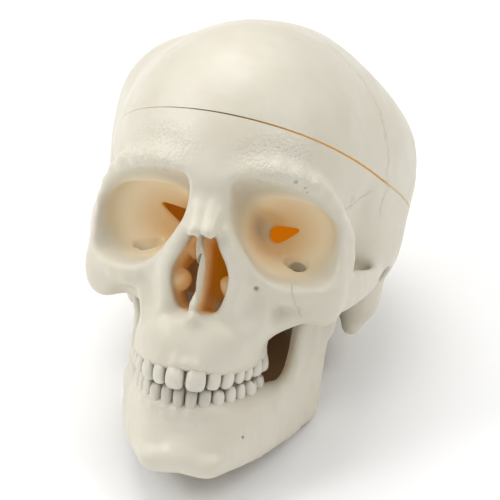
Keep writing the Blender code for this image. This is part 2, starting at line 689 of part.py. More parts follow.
def main():
    clear_scene()
    shell = braincase_outside()
    cranium = solid_from_field("cranium", cranium_field(shell), (-76, -108, -50), (76, 96, 66),
                               CRANIUM_GRID, CRANIUM_TRIANGLES)
    skullcap = solid_from_field("skullcap", skullcap_field(shell), (-76, -106, 12), (76, 96, 122),
                                CAP_GRID, CAP_TRIANGLES)
    mandible = solid_from_field("mandible", jaw_field(), (-66, -104, -100), (66, 4, 4),
                                JAW_GRID, JAW_TRIANGLES)
    saw_off(cranium, cut_normal(0.0), CUT_HEIGHT - CUT_GAP / 2, True)
    saw_off(skullcap, cut_normal(GAP_WIDENS_TO_LEFT), CUT_HEIGHT + CUT_GAP / 2, False)
    plant_teeth(cranium, UPPER_TEETH, UPPER_ARCH, UPPER_GUM, UPPER_GUM_RISE, True)
    plant_teeth(mandible, LOWER_TEETH, LOWER_ARCH, LOWER_GUM, LOWER_GUM_RISE, False)
    tilt = resting_tilt(cranium, mandible)
    up = world_up(tilt)
    floor = max(lowest(cranium, up), lowest(mandible, up)) + FLOOR_TRIM * MM
    for item in (cranium, mandible):
        trim_to_floor(item, floor, up)
    pose = bpy.data.objects.new("resting_tilt", None)
    bpy.context.scene.collection.objects.link(pose)
    pose.rotation_euler.x = -tilt
    turned = Matrix.Rotation(-tilt, 3, "X")
    corners = [turned @ vertex.co for item in (cranium, skullcap, mandible) for vertex in item.data.vertices]
    for axis in (0, 1):
        pose.location[axis] = -(min(c[axis] for c in corners) + max(c[axis] for c in corners)) / 2
    pose.location.z = -floor
    cream = (0.80, 0.74, 0.62)
    for item in (cranium, skullcap, mandible):
        item.data.materials.clear()
        item.data.materials.append(bone_material(item.name + " plastic", cream, 0.38))
        item.data.shade_smooth()
        item.data.set_sharp_from_angle(angle=math.radians(45))
        item.parent = pose


main()
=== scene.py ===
import math
import random

import bmesh
import bpy
from mathutils import Matrix, Vector


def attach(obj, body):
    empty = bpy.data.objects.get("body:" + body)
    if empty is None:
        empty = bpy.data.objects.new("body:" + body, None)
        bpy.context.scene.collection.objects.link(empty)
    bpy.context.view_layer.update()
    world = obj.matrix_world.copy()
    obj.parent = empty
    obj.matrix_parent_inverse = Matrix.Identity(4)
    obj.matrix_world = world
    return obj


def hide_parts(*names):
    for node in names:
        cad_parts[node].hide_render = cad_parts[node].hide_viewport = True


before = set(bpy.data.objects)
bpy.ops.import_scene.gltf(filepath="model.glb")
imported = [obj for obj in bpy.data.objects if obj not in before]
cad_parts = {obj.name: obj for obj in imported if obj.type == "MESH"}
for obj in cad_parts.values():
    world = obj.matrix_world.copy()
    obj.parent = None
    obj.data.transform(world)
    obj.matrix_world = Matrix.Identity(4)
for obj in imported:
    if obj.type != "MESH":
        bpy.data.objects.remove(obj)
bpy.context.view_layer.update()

# A plastic teaching skull. Its shapes are worked out in the skull's own frame, in millimetres:
# x to the skull's left, y to its back, z up, from midway between the ear canals.
millimetre = 0.001
pose = {"tilt": 32.461, "place": (-0.00006, 0.00781, 0.05255)}
skullToWorld = (Matrix.Translation(pose["place"])
                @ Matrix.Rotation(-math.radians(pose["tilt"]), 4, "X"))
scene = bpy.context.scene


# ---- sums on sockets ----

class Signal:
    # A socket that can stand in a plain expression: each operator adds a Math node.
    def __init__(self, tree, socket):
        self.tree = tree
        self.socket = socket

    def math(self, operation, *others):
        node = self.tree.nodes.new("ShaderNodeMath")
        node.operation = operation
        for slot, value in zip(node.inputs, (self, *others)):
            feed(self.tree, slot, value)
        return Signal(self.tree, node.outputs[0])

    def __add__(self, other):
        return self.math("ADD", other)

    def __sub__(self, other):
        return self.math("SUBTRACT", other)

    def __rsub__(self, other):
        return self.math("MULTIPLY", -1.0) + other

    def __mul__(self, other):
        return self.math("MULTIPLY", other)

    def __truediv__(self, other):
        return self.math("DIVIDE", other)

    __radd__ = __add__
    __rmul__ = __mul__

    def least(self, other):
        return self.math("MINIMUM", other)

    def most(self, other):
        return self.math("MAXIMUM", other)

    def clamped(self):
        return self.most(0.0).least(1.0)

    def vector(self, operation, *others):
        node = self.tree.nodes.new("ShaderNodeVectorMath")
        node.operation = operation
        for slot, value in zip(node.inputs, (self, *others)):
            feed(self.tree, slot, value)
        measures = operation in ("LENGTH", "DOT_PRODUCT", "DISTANCE")
        return Signal(self.tree, node.outputs["Value" if measures else "Vector"])

    def scaled(self, factor):
        node = self.tree.nodes.new("ShaderNodeVectorMath")
        node.operation = "SCALE"
        feed(self.tree, node.inputs[0], self)
        feed(self.tree, node.inputs["Scale"], factor)
        return Signal(self.tree, node.outputs["Vector"])

    def parts(self):
        node = self.tree.nodes.new("ShaderNodeSeparateXYZ")
        feed(self.tree, node.inputs[0], self)
        return [Signal(self.tree, socket) for socket in node.outputs]


def feed(tree, slot, value):
    if isinstance(value, Signal):
        tree.links.new(value.socket, slot)
    elif value is not None:
        slot.default_value = value


def together(tree, x, y, z):
    node = tree.nodes.new("ShaderNodeCombineXYZ")
    for slot, value in zip(node.inputs, (x, y, z)):
        feed(tree, slot, value)
    return Signal(tree, node.outputs[0])


# ---- forms as fields of distances ----

def newGroup(name, inputs):
    tree = bpy.data.node_groups.new(name, "GeometryNodeTree")
    tree.interface.new_socket("Place", in_out="INPUT", socket_type="NodeSocketVector")
    for label, kind in inputs:
        tree.interface.new_socket(label, in_out="INPUT", socket_type="NodeSocket" + kind)
    tree.interface.new_socket("Distance", in_out="OUTPUT", socket_type="NodeSocketFloat")
    source = tree.nodes.new("NodeGroupInput")
    return tree, {socket.name: Signal(tree, socket) for socket in source.outputs if socket.name}


def closeGroup(tree, signal):
    target = tree.nodes.new("NodeGroupOutput")
    feed(tree, target.inputs[0], signal)
    return tree


def blended(surface, distance, blend, cut):
    if cut:
        return surface.math("SMOOTH_MAX", distance * -1.0, blend)
    return surface.math("SMOOTH_MIN", distance, blend)


def ballTool(cut):
    inputs = [("Surface", "Float"), ("Blend", "Float"), ("Centre", "Vector"), ("Radii", "Vector")]
    tree, given = newGroup("ball", inputs)
    scaled = given["Place"].vector("SUBTRACT", given["Centre"]).vector("DIVIDE", given["Radii"])
    reach = scaled.vector("LENGTH")
    slope = scaled.vector("DIVIDE", given["Radii"]).vector("LENGTH")
    distance = reach * (reach - 1.0) / slope.most(1e-4)
    return closeGroup(tree, blended(given["Surface"], distance, given["Blend"], cut))


def rodTool(cut):
    inputs = [("Surface", "Float"), ("Blend", "Float"), ("Start", "Vector"), ("Along", "Vector"),
              ("Squash", "Vector"), ("First", "Float"), ("Change", "Float"), ("Share", "Float")]
    tree, given = newGroup("rod", inputs)
    offset = given["Place"].vector("SUBTRACT", given["Start"]).vector("MULTIPLY", given["Squash"])
    along = (offset.vector("DOT_PRODUCT", given["Along"]) * given["Share"]).clamped()
    length = offset.vector("SUBTRACT", given["Along"].scaled(along)).vector("LENGTH")
    distance = length - (given["First"] + given["Change"] * along)
    return closeGroup(tree, blended(given["Surface"], distance, given["Blend"], cut))


def smoothPath(stops, bends):
    points = [Vector(stop) for stop in stops]
    ends = [2 * points[0] - points[1], *points, 2 * points[-1] - points[-2]]
    path = []
    for a, b, c, d in zip(ends, ends[1:], ends[2:], ends[3:]):
        for step in range(bends + 1):
            t = step / (bends + 1)
            path.append(0.5 * (2 * b + (c - a) * t + (2 * a - 5 * b + 4 * c - d) * t ** 2
                               + (3 * b - a - 3 * c + d) * t ** 3))
    return path + [points[-1]]


class Form:
    # A surface built up form by form: balls and rods joined or cut with soft edges.
    tools = {}

    def __init__(self, name):
        if not Form.tools:
            Form.tools.update(ball=ballTool(False), ballCut=ballTool(True),
                              rod=rodTool(False), rodCut=rodTool(True))
        self.tree, given = newGroup(name, [])
        self.place = given["Place"]
        self.surface = None

    def tool(self, name, values):
        node = self.tree.nodes.new("GeometryNodeGroup")
        node.node_tree = Form.tools[name]
        feed(self.tree, node.inputs["Place"], self.place)
        for label, value in values.items():
            feed(self.tree, node.inputs[label], value)
        if self.surface is None:
            node.inputs["Surface"].default_value = 1000.0
        else:
            feed(self.tree, node.inputs["Surface"], self.surface)
        self.surface = Signal(self.tree, node.outputs[0])

    def ball(self, centre, radii, blend=6.0, cut=False):
        self.tool("ballCut" if cut else "ball", {"Blend": blend, "Centre": centre, "Radii": radii})

    def rod(self, start, end, first, last, blend=6.0, squash=(1, 1, 1), cut=False):
        along = Vector([(b - a) * s for a, b, s in zip(start, end, squash)])
        self.tool("rodCut" if cut else "rod", {
            "Blend": blend, "Start": start, "Along": along, "Squash": squash, "First": first,
            "Change": last - first, "Share": 1.0 / along.length_squared})

    def chain(self, stops, blend=6.0, squash=(1, 1, 1), cut=False, bends=0):
        stops = smoothPath(stops, bends) if bends else stops
        for one, two in zip(stops, stops[1:]):
            self.rod(one[:3], two[:3], one[3], two[3], blend, squash, cut)

    def wall(self, inside, corners, blend=6.0):
        # a flat side through three points, with the given point inside
        a, b, c = (Vector(corner) for corner in corners)
        normal = (b - a).cross(c - a).normalized()
        if normal.dot(Vector(inside) - a) > 0:
            normal = -normal
        level = self.place.vector("DOT_PRODUCT", tuple(normal)) - normal.dot(a)
        if self.surface is not None:
            level = self.surface.math("SMOOTH_MAX", level, blend)
        self.surface = level

    def of(self, other, mirrored=False):
        # another form's distance here, if mirrored on both sides alike
        node = self.tree.nodes.new("GeometryNodeGroup")
        node.node_tree = other.tree
        place = self.place
        if mirrored:
            x, y, z = place.parts()
            place = together(self.tree, x.math("ABSOLUTE"), y, z)
        feed(self.tree, node.inputs["Place"], place)
        return Signal(self.tree, node.outputs[0])

    def add(self, distance, blend):
        self.surface = self.surface.math("SMOOTH_MIN", distance, blend)

    def remove(self, distance, blend, grow=0.0):
        self.surface = self.surface.math("SMOOTH_MAX", grow - distance, blend)

    def keep(self, distance, blend, grow=0.0):
        self.surface = self.surface.math("SMOOTH_MAX", distance - grow, blend)

    def done(self):
        closeGroup(self.tree, self.surface)
        return self


def skinOf(name, form, low, high, grid):
    # Samples the field on a grid, skins it, evens out the grid's steps, and gives the skin a
    # slight hand-made unevenness.
    tree = bpy.data.node_groups.new(name + "Skin", "GeometryNodeTree")
    tree.interface.new_socket("Geometry", in_out="OUTPUT", socket_type="NodeSocketGeometry")
    place = Signal(tree, tree.nodes.new("GeometryNodeInputPosition").outputs[0])
    field = tree.nodes.new("GeometryNodeGroup")
    field.node_tree = form.tree
    feed(tree, field.inputs["Place"], place)
    block = tree.nodes.new("GeometryNodeVolumeCube")
    feed(tree, block.inputs["Density"], Signal(tree, field.outputs[0]) * -1.0)
    block.inputs["Background"].default_value = -grid * 4
    block.inputs["Min"].default_value = low
    block.inputs["Max"].default_value = high
    for axis, a, b in zip("XYZ", low, high):
        block.inputs["Resolution " + axis].default_value = round((b - a) / grid) + 1
    surface = tree.nodes.new("GeometryNodeVolumeToMesh")
    surface.inputs["Threshold"].default_value = 0.0
    surface.inputs["Adaptivity"].default_value = 0.0
    tree.links.new(block.outputs[0], surface.inputs[0])
    blur = tree.nodes.new("GeometryNodeBlurAttribute")
    blur.data_type = "FLOAT_VECTOR"
    blur.inputs["Iterations"].default_value = skin["evenings"]
    links = [slot for slot in blur.inputs if slot.name == "Value" and slot.enabled]
    feed(tree, links[0], place)
    even = tree.nodes.new("GeometryNodeSetPosition")
    tree.links.new(surface.outputs[0], even.inputs["Geometry"])
    outputs = [slot for slot in blur.outputs if slot.enabled]
    tree.links.new(outputs[0], even.inputs["Position"])
    waves = None
    for size, height in skin["unevenness"]:
        noise = tree.nodes.new("ShaderNodeTexNoise")
        noise.inputs["Scale"].default_value = 1.0 / size
        noise.inputs["Detail"].default_value = 1.0
        feed(tree, noise.inputs["Vector"], place)
        wave = (Signal(tree, noise.outputs[0]) - 0.5) * (2 * height)
        waves = wave if waves is None else waves + wave
    normal = Signal(tree, tree.nodes.new("GeometryNodeInputNormal").outputs[0])
    shift = tree.nodes.new("GeometryNodeSetPosition")
    tree.links.new(even.outputs[0], shift.inputs["Geometry"])
    feed(tree, shift.inputs["Offset"], normal.scaled(waves - skin["inset"]))
    target = tree.nodes.new("NodeGroupOutput")
    tree.links.new(shift.outputs[0], target.inputs[0])
    maker = bpy.data.objects.new(name + "Maker", bpy.data.meshes.new(name))
    scene.collection.objects.link(maker)
    maker.modifiers.new("field", "NODES").node_group = tree
    mesh = settledMesh(maker)
    bpy.data.objects.remove(maker)
    mesh.name = name
    keepLargest(mesh)
    mesh.transform(Matrix.Scale(millimetre, 4))
    piece = bpy.data.objects.new(name, mesh)
    scene.collection.objects.link(piece)
    return piece


def settledMesh(item):
    graph = bpy.context.evaluated_depsgraph_get()
    return bpy.data.meshes.new_from_object(item.evaluated_get(graph))


def settle(item):
    mesh = settledMesh(item)
    item.modifiers.clear()
    old, item.data = item.data, mesh
    bpy.data.meshes.remove(old)


def keepLargest(mesh):
    work = bmesh.new()
    work.from_mesh(mesh)
    unseen = set(work.verts)
    islands = []
    while unseen:
        seed = unseen.pop()
        island, front = [seed], [seed]
        while front:
            point = front.pop()
            for edge in point.link_edges:
                other = edge.other_vert(point)
                if other in unseen:
                    unseen.remove(other)
                    island.append(other)
                    front.append(other)
        islands.append(island)
    islands.sort(key=len, reverse=True)
    for island in islands[1:]:
        bmesh.ops.delete(work, geom=island, context="VERTS")
    work.to_mesh(mesh)
    work.free()


def sawOff(item, normal, point, above):
    # One straight cut: takes away all that lies above, or below, a sloping plane. The block's
    # size is in metres, and larger than the head.
    size = 0.4
    work = bmesh.new()
    bmesh.ops.create_cube(work, size=size)
    mesh = bpy.data.meshes.new("sawBlock")
    work.to_mesh(mesh)
    work.free()
    block = bpy.data.objects.new("sawBlock", mesh)
    scene.collection.objects.link(block)
    middle = Vector(point) * millimetre + normal * (size / 2 if above else -size / 2)
    turned = normal.to_track_quat("Z", "Y").to_matrix().to_4x4()
    block.matrix_world = Matrix.Translation(middle) @ turned
    cut = item.modifiers.new("saw", "BOOLEAN")
    cut.operation = "DIFFERENCE"
    cut.object = block
    cut.solver = "MANIFOLD"
    settle(item)
    bpy.data.objects.remove(block)


# ---- the braincase ----

vault = {"halfWidth": 72.0, "back": 90.0, "top": 109.0, "middle": 16.0, "level": 44.0, "wall": 5.0}
sawCut = {"height": 39.3, "riseToFront": 0.268, "riseToRight": 0.062, "gap": 0.62,
          "widening": 0.0085, "margin": 3.0}


def vaultForm():
    half = Form("vaultHalf")
    half.ball((0, vault["middle"], vault["level"]),
              (vault["halfWidth"], vault["back"] - vault["middle"], vault["top"] - vault["level"]))
    half.ball((0, -30, 42), (57, 64, 63), 30)
    half.ball((0, 46, 28), (52, 45, 42), 26)
    half.ball((0, 42, -4), (46, 34, 22), 20)
    half.ball((46, 8, 13), (23.5, 36, 25), 16)
    half.ball((0, -30, 8), (32, 34, 26), 16)
    half.done()
    whole = Form("vault")
    whole.surface = whole.of(half, True)
    # the two swellings of the crown, fuller on the right
    whole.ball((-39.5, 3, 66), (27, 39, 28.5), 14)
    whole.ball((29, 9.5, 67), (26, 36, 23), 14)
    # a flatter place high on the left
    whole.wall((0, 0, 50), [(0, 0, 131.7), (163.4, 0, 0), (0, 38.3, 123.1)], 12)
    return whole.done()


def brainHollow(shell):
    floor = Form("brainFloor")
    floor.ball((0, 34, 8), (54, 46, 28), 6)
    floor.ball((34, -12, 12), (24, 32, 24), 12)
    floor.ball((0, -37, 53), (44, 46, 30), 12)
    floor.ball((0, 20, 54), (80, 80, 66), 14)
    floor.done()
    s = Form("brainHollow")
    s.surface = s.of(shell) + vault["wall"]
    s.keep(s.of(floor, True), 6)
    return s.done()


def cutNormal(widening):
    return Vector((sawCut["riseToRight"] - widening, sawCut["riseToFront"], 1.0)).normalized()


def cutLevel(s):
    normal = cutNormal(0.0)
    return s.place.vector("DOT_PRODUCT", tuple(normal)) - normal.z * sawCut["height"]


# ---- the face ----

face = {"orbitWall": 3.0}
upperTeeth = {
    "gum": -47.6, "gumRise": 0.13, "front": -93.6, "left": (22.2, 43.0), "right": (27.5, 36.0),
    "row": [("incisor", 8.8, 7.0, 1.8), ("incisor", 6.8, 6.2, 1.2), ("canine", 7.2, 7.4, 1.4),
            ("premolar", 6.8, 8.4, -0.3), ("premolar", 6.6, 8.4, -0.3), ("molar", 9.8, 10.0, -0.3),
            ("molar", 9.2, 9.8, -0.3)],
}
lowerTeeth = {
    "gum": -62.0, "gumRise": 0.07, "front": -89.4, "left": (21.8, 42.0), "right": (26.0, 36.0),
    "row": [("incisor", 5.2, 5.6, 0.6), ("incisor", 5.8, 5.8, 0.4), ("canine", 6.6, 6.6, -0.8),
            ("premolar", 6.8, 7.2, -0.3), ("premolar", 6.8, 7.4, -0.3), ("molar", 10.4, 9.2, -0.3),
            ("molar", 10.0, 9.0, -0.3)],
}


def orbitForm():
    s = Form("orbit")
    inside = (28, -70, 15)
    s.wall(inside, [(12, -86, 34.5), (36, -78, 33.5), (16, -38, 20)])
    s.wall(inside, [(38, -76, 33), (51, -65, 22), (20, -38, 18)], 13)
    s.wall(inside, [(52.5, -64, 22), (51, -64, 4), (20, -38, 14)], 13)
    s.wall(inside, [(45, -69, -4.5), (28, -76, -4.5), (16, -40, 7)], 13)
    s.wall(inside, [(22, -80, -1), (9.3, -86, 16), (11, -40, 10)], 12)
    s.wall(inside, [(9, -86, 20), (9, -86, 30), (11, -40, 14)], 10)
    s.wall(inside, [(0, -37, 0), (10, -37, 0), (0, -37, 10)], 8)
    s.ball((33, -62, 16), (18, 13, 17.5), 5)
    return s.done()


def noseForm():
    s = Form("nose")
    inside = (2, -80, -5)
    s.wall(inside, [(2.6, -93, 12), (11.3, -93, -1.5), (6.5, -60, 6)])
    s.wall(inside, [(12.6, -93, -4), (12.6, -93, -12), (14, -60, -8)], 5)
    s.wall(inside, [(12.4, -93, -12), (8.5, -93, -20.5), (14, -60, -14)], 5)
    s.wall(inside, [(0, -93, -22), (8, -93, -21.5), (0, -60, -23)], 4)
    s.wall(inside, [(0, -101, 10), (5, -101, 10), (0, -60, 22)], 3)
    s.wall(inside, [(0, -44, 0), (5, -44, 0), (0, -44, 5)], 3)
    return s.done()


def faceForm():
    s = Form("face")
    s.ball((0, -86, 35), (12, 8, 10))
    s.chain([(6, -87, 35, 6.5), (15, -88, 38.5, 6), (26, -86, 40.5, 5.3), (41, -77, 37, 5),
             (50, -67, 27, 3.9), (52, -63.5, 10, 4.8), (51, -63, -4, 6.3)], 3, bends=1)
    s.chain([(50, -64, -6, 6), (40, -72, -10, 5.8), (28, -78.5, -9, 5), (18, -82.5, -1, 4.5),
             (11, -87, 13, 4.5), (6, -87, 27, 5)], 3, bends=1)
    s.chain([(2.8, -87, 28, 5.2), (2.8, -92, 20, 4.4), (3, -98.5, 12.5, 3.4)], 3)
    s.chain([(7.5, -92, 13, 3.4), (14, -87.5, -3, 4), (14.5, -86, -17, 4.5)], 5, bends=1)
    s.chain([(21, -77, -7.5, 4.5), (33, -71, -8.5, 5), (46, -62.5, -7, 5)], 5)
    s.ball((49, -61, -10), (10, 8, 13.5), 7)
    s.chain([(43, -64, -15, 6.5), (25, -65, -27, 5)], 7)
    s.ball((15, -72, -20), (15.5, 17.5, 24), 8)
    s.ball((0, -78, -33), (15, 17, 14), 8)
    arch = [(0, -90), (9, -88.5), (16, -82), (19.8, -72), (20.4, -62), (19.4, -54)]
    rise = upperTeeth["gumRise"]
    s.chain([(x, y, -37.5 + rise * (y + 90), 6.2) for x, y in arch], 2, (1, 1, 0.56), bends=2)
    s.chain([(0, -92, -25, 3.5), (0, -97, -24.5, 1.6)], 5)
    s.chain([(51, -60, -9, 10), (57, -49, -7, 8.5), (61.5, -38, -4.5, 6.5), (63.5, -25, -2.5, 5),
             (63, -12, 0, 4.5), (58, -2, 2, 5)], 3, (1.9, 1, 1), bends=1)
    s.chain([(50, -65, 28, 3.4), (54.5, -58, 14, 4.2), (54, -57, 2, 6)], 5, bends=1)
    s.chain([(52.5, -61, 27, 1.6), (56.2, -56.5, 17.5, 2.4), (56.4, -57, 12, 1.6)], 2.5, bends=1)
    return s.done()


def rightGumForm():
    # the upper jaw's rim on the right, which stands further out than on the left
    s = Form("rightGum")
    rim = [(-9.5, -88.8), (-17.6, -83.6), (-22.6, -75.5), (-24.2, -66), (-24, -56)]
    rise = upperTeeth["gumRise"]
    s.chain([(x, y, -37.5 + rise * (y + 90), 6.2) for x, y in rim], 2, (1, 1, 0.56), bends=1)
    return s.done()


def templeForm():
    # the hollow behind the cheekbone's rising branch
    s = Form("temple")
    s.ball((66.5, -42, 23), (12, 13, 19))
    return s.done()


def grooveForm():
    # the sharp step along the back of that branch
    s = Form("groove")
    s.chain([(55.5, -50, 32, 2.4), (58, -50.5, 24, 2.8), (60.5, -52, 14, 3),
             (60.5, -50.5, 6, 2.6)], 2, bends=1)
    return s.done()


def baseForm():
    s = Form("base")
    s.ball((53, 12, -9), (11, 14, 17), 8)
    s.rod((53, 10, -14), (52, 9, -27), 8, 4.5, 6)
    s.rod((0, 2, -23), (0, -26, -10), 9, 10, 8)
    s.ball((0, 33, -18), (32, 24, 15), 12)
    s.ball((0, -36, 0), (15, 14, 15), 8)
    s.ball((48, -21, -2), (10, 6, 5), 6)
    s.rod((20, 2, -16), (50, 6, -9), 8, 8, 8)
    s.rod((60, 2, 2), (48, 0, -4), 7, 6, 5)
    s.rod((15, -2, -27), (19, 8, -25), 5, 5, 4)
    s.rod((14, -42, -8), (17.5, -43, -36), 3.5, 2.8, 5, (2.6, 0.45, 1))
    s.rod((41, 5, -12), (34, -5, -36), 3, 1.4, 4)
    return s.done()


def socketWalls(orbit):
    front = Form("rimPlane")
    front.wall((0, 0, 0), [(0, -77, 0), (40, -66, 0), (0, -77, 40)])
    front.done()
    s = Form("socketWalls")
    s.surface = s.of(orbit) - face["orbitWall"]
    s.keep(s.of(front), 6)
    return s.done()


def openingsForm():
    s = Form("openings")
    s.rod((30, -50, 0.2), (37, -54.5, -0.8), 2.8, 3, 2, (1, 1, 0.6))
    s.ball((0, 15, -24), (15, 18, 16), 3)
    s.rod((0, 11, -15), (0, 28.5, -43), 13.4, 13.4, 2)
    s.rod((66, 1, -1), (48, 0, 0), 4, 3, 2)
    s.rod((42.5, -11.5, -4), (52.5, -11.5, -4), 6.8, 6.8, 3)
    s.rod((47, -11, -6), (43, -12.5, -30), 6.5, 7, 3, (0.9, 1, 1))
    s.ball((0, -60, -50), (19.5, 27, 15), 4)
    return s.done()


def fissuresForm():
    # the leaf-shaped slots at the back of the sockets, a little different left and right, and
    # the small hole under the left one
    s = Form("fissures")
    s.rod((21.5, -40, 12.7), (32.3, -43, 16.4), 3.9, 0.8, 1.5, (1, 0.15, 1))
    s.rod((-19, -39, 14.2), (-31, -43, 20.6), 4.2, 0.8, 1.5, (1, 0.15, 1))
    s.rod((31, -51.5, 0.2), (37, -54, 1.2), 2.8, 3, 1, (1, 1, 0.7))
    s.rod((24.2, -86.5, -9.6), (23.6, -83.6, -8.8), 0.7, 0.5, 0.4)
    return s.done()


def septumForm():
    s = Form("septum")
    s.rod((-0.8, -91, 8), (0, -50, 4), 10, 18, 6, (12, 1, 1))
    s.rod((1, -86, -7), (0, -50, -10), 14, 14, 6, (15, 1, 1))
    s.rod((-0.2, -88, -18), (0, -50, -18), 7, 7, 4, (8, 1, 1))
    # its thickened and slightly wavy front edge
    s.chain([(-1.8, -96.5, 11, 1.0), (0.2, -94, 5, 0.8), (1.4, -92, -3, 1.1), (0.6, -92, -11, 0.7),
             (-0.6, -92.2, -16, 1.0), (-1.6, -92.5, -21, 1.4)], 1.5, bends=1)
    return s.done()


def scrollsForm():
    s = Form("scrolls")
    s.ball((11.6, -76, -10.5), (4.6, 10.5, 5.2))
    s.ball((9.4, -80, -8.6), (2.4, 5, 2.6), 2)
    s.ball((7.4, -68, 4), (2.6, 11, 6), 2)
    return s.done()


print("forms of the face: ready")


# ---- the teeth ----

bite = {"level": -54.4, "rise": 0.15}
# height, width, depth and lean towards the lips, as shares of the crown, from the root up
crowns = {
    "incisor": [(-0.9, 0.5, 0.4, 0), (-0.35, 0.78, 0.72, 0), (-0.08, 0.92, 0.88, 0.02),
                (0.12, 0.99, 1.0, 0.05), (0.4, 1.03, 1.0, 0.07), (0.68, 1.0, 0.82, 0.09),
                (0.88, 0.86, 0.54, 0.1), (0.98, 0.58, 0.28, 0.1)],
    "canine": [(-0.9, 0.5, 0.42, 0), (-0.35, 0.78, 0.74, 0), (-0.08, 0.92, 0.92, 0.02),
               (0.14, 1.0, 1.02, 0.04), (0.44, 1.03, 1.0, 0.06), (0.7, 0.95, 0.82, 0.08),
               (0.9, 0.7, 0.52, 0.1), (0.99, 0.36, 0.26, 0.1)],
    "premolar": [(-0.9, 0.6, 0.5, 0), (-0.35, 0.82, 0.78, 0), (-0.06, 0.94, 0.92, 0),
                 (0.22, 1.02, 1.0, 0), (0.55, 1.03, 1.02, 0), (0.8, 0.93, 0.93, 0),
                 (0.95, 0.7, 0.72, 0), (0.93, 0.34, 0.36, 0)],
    "molar": [(-0.9, 0.7, 0.6, 0), (-0.35, 0.88, 0.84, 0), (-0.06, 0.96, 0.94, 0),
              (0.22, 1.02, 1.0, 0), (0.55, 1.03, 1.02, 0), (0.82, 0.94, 0.94, 0),
              (0.95, 0.74, 0.74, 0), (0.92, 0.34, 0.34, 0)],
}
# squareness: below 1 a ring of the crown, or of the root, is squarer than an ellipse. Cusps rise
# from a share of the crown's height, and stand out in full above the next.
toothLook = {
    "sides": 16, "squareness": {"crown": 0.8, "root": 0.92}, "cusps": {"premolar": 2, "molar": 4},
    "cuspHeight": 0.09, "cuspsFrom": 0.6, "cuspsFull": 0.9, "cuspFoot": 0.35, "pit": 0.1,
    "edge": 0.01, "seed": 7, "sizes": (0.99, 1.05), "shift": 0.1, "turn": 0.06,
    "smoothing": 2,
}
rootLook = {"teeth": 5, "gumInset": 1.3, "tipInset": 1.9, "tipNarrowing": 0.96, "tipBack": 1.5,
            "canine": 1.35, "gumWidth": 0.28, "tipWidth": 0.16, "overGum": 3}


def archPlaces(arch, half):
    # where the teeth of one side stand on the arch, and which way each faces: it walks along a
    # quarter of an ellipse, and a little past it
    halfWidth, length = arch[half]
    steps = 4000
    reach = math.pi / 2 * 1.1
    widths = [tooth[1] for tooth in arch["row"]]
    wanted = [sum(widths[:i]) + width / 2 for i, width in enumerate(widths)]
    places = []
    walked = 0.0
    last = (0.0, arch["front"])
    for step in range(1, steps + 1):
        turn = reach * step / steps
        here = (halfWidth * math.sin(turn), arch["front"] + length * (1 - math.cos(turn)))
        walked += math.dist(here, last)
        last = here
        if wanted and walked >= wanted[0]:
            wanted.pop(0)
            facing = math.atan2(halfWidth * math.cos(turn), length * math.sin(turn))
            places.append((*here, facing))
    return places


def archSides(arch):
    # the two sides of a row, each as its teeth and their places
    for side, half in ((1, "left"), (-1, "right")):
        yield side, list(zip(arch["row"], archPlaces(arch, half)))


def awayFrom(side, facing):
    return Vector((side * math.sin(math.pi / 2 - facing), -math.cos(math.pi / 2 - facing)))


def squared(value, power):
    return math.copysign(abs(value) ** power, value)


def addTooth(work, kind, width, depth, height, matrix, down):
    look = toothLook
    sides = look["sides"]
    cusps = look["cusps"].get(kind, 0)
    rise = -height if down else height
    rings = []
    for share, wide, deep, lean in crowns[kind]:
        power = look["squareness"]["crown" if share > 0 else "root"]
        part = 1.0 if share > look["cuspsFull"] else look["cuspFoot"]
        ring = []
        for side in range(sides):
            turn = 2 * math.pi * side / sides
            x = squared(math.cos(turn), power) * width / 2 * wide
            y = squared(math.sin(turn), power) * depth / 2 * deep
            z = share
            if cusps and share > look["cuspsFrom"]:
                z -= math.cos(cusps * turn) * look["cuspHeight"] * part
            ring.append(work.verts.new(matrix @ Vector((x, y - lean * depth, z * rise))))
        rings.append(ring)
    tip = share - look["pit"] if cusps else share + look["edge"]
    middle = work.verts.new(matrix @ Vector((0, -lean * depth, tip * rise)))
    faces = []
    for low, high in zip(rings, rings[1:]):
        for side in range(sides):
            after = (side + 1) % sides
            faces.append((low[side], low[after], high[after], high[side]))
    for side in range(sides):
        faces.append((rings[-1][side], rings[-1][(side + 1) % sides], middle))
    faces.append(tuple(rings[0][::-1]))
    for corners in faces:
        work.faces.new(corners[::-1] if down else corners)


def toothRow(name, arch, down):
    chance = random.Random(toothLook["seed"])
    work = bmesh.new()
    shift, turn = toothLook["shift"], toothLook["turn"]
    for side, teeth in archSides(arch):
        for (kind, width, depth, past), (x, y, facing) in teeth:
            size = chance.uniform(*toothLook["sizes"])
            behind = y - arch["front"]
            level = arch["gum"] + arch["gumRise"] * behind + chance.uniform(-shift, shift)
            height = abs(level - bite["level"] - bite["rise"] * behind) + past
            angle = side * (math.pi / 2 - facing) + chance.uniform(-turn, turn)
            matrix = (Matrix.Scale(millimetre, 4) @ Matrix.Translation((side * x, y, level))
                      @ Matrix.Rotation(angle, 4, "Z"))
            addTooth(work, kind, width * size, depth * size, height, matrix, down)
    mesh = bpy.data.meshes.new(name)
    work.to_mesh(mesh)
    work.free()
    row = bpy.data.objects.new(name, mesh)
    scene.collection.objects.link(row)
    smooth = row.modifiers.new("smooth", "SUBSURF")
    smooth.levels = smooth.render_levels = toothLook["smoothing"]
    settle(row)
    return row


